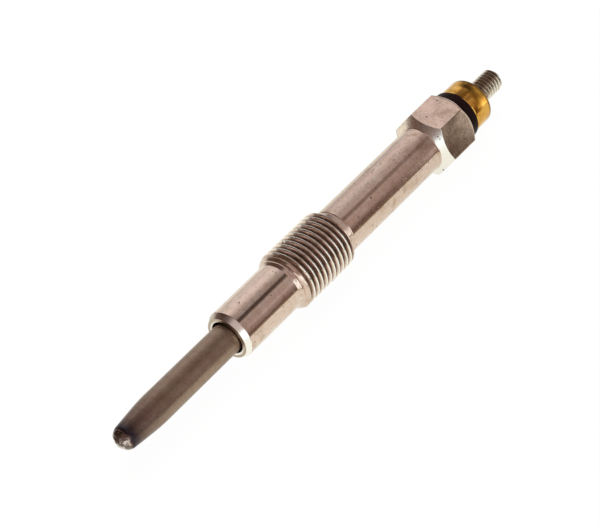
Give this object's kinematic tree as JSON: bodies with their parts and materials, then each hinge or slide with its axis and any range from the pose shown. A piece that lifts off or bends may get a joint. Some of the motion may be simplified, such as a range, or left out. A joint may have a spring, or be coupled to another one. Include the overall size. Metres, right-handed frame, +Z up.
{
  "type": "diesel glow plug",
  "caption": "Slim turned steel glow plug with a swaged heater tube, threaded body, hexagon, black insulator, brass round nut and threaded terminal.",
  "frame": {"origin": "on the floor, under the middle of the plug's length, with the plug lying on one flat of its hexagon", "axes": "+X along the plug's axis from the heated tip to the terminal, +Z up"},
  "size_m": [0.0936, 0.0114, 0.0099],
  "materials": {
    "nickel_plate": "bright nickel plate on turned steel",
    "heat_resisting_steel": "brown heat-resisting steel, blued at the welded tip",
    "heating_wire": "drawn resistance wire",
    "regulating_wire": "drawn nickel wire",
    "magnesium_oxide": "pressed white powder",
    "terminal_steel": "plated steel with a rolled thread",
    "seal_rubber": "matt rubber",
    "ring_rubber": "matt rubber",
    "black_polyamide": "glossy black moulding",
    "brass": "polished brass"
  },
  "bodies": {
    "root": {"shell": "nickel_plate", "heater_sheath": "heat_resisting_steel", "heating_coil": "heating_wire", "regulating_coil": "regulating_wire", "insulating_powder": "magnesium_oxide", "centre_electrode": "terminal_steel", "sheath_seal": "seal_rubber", "o_ring": "ring_rubber", "insulating_washer": "black_polyamide", "round_nut": "brass"}
  },
  "joints": []
}
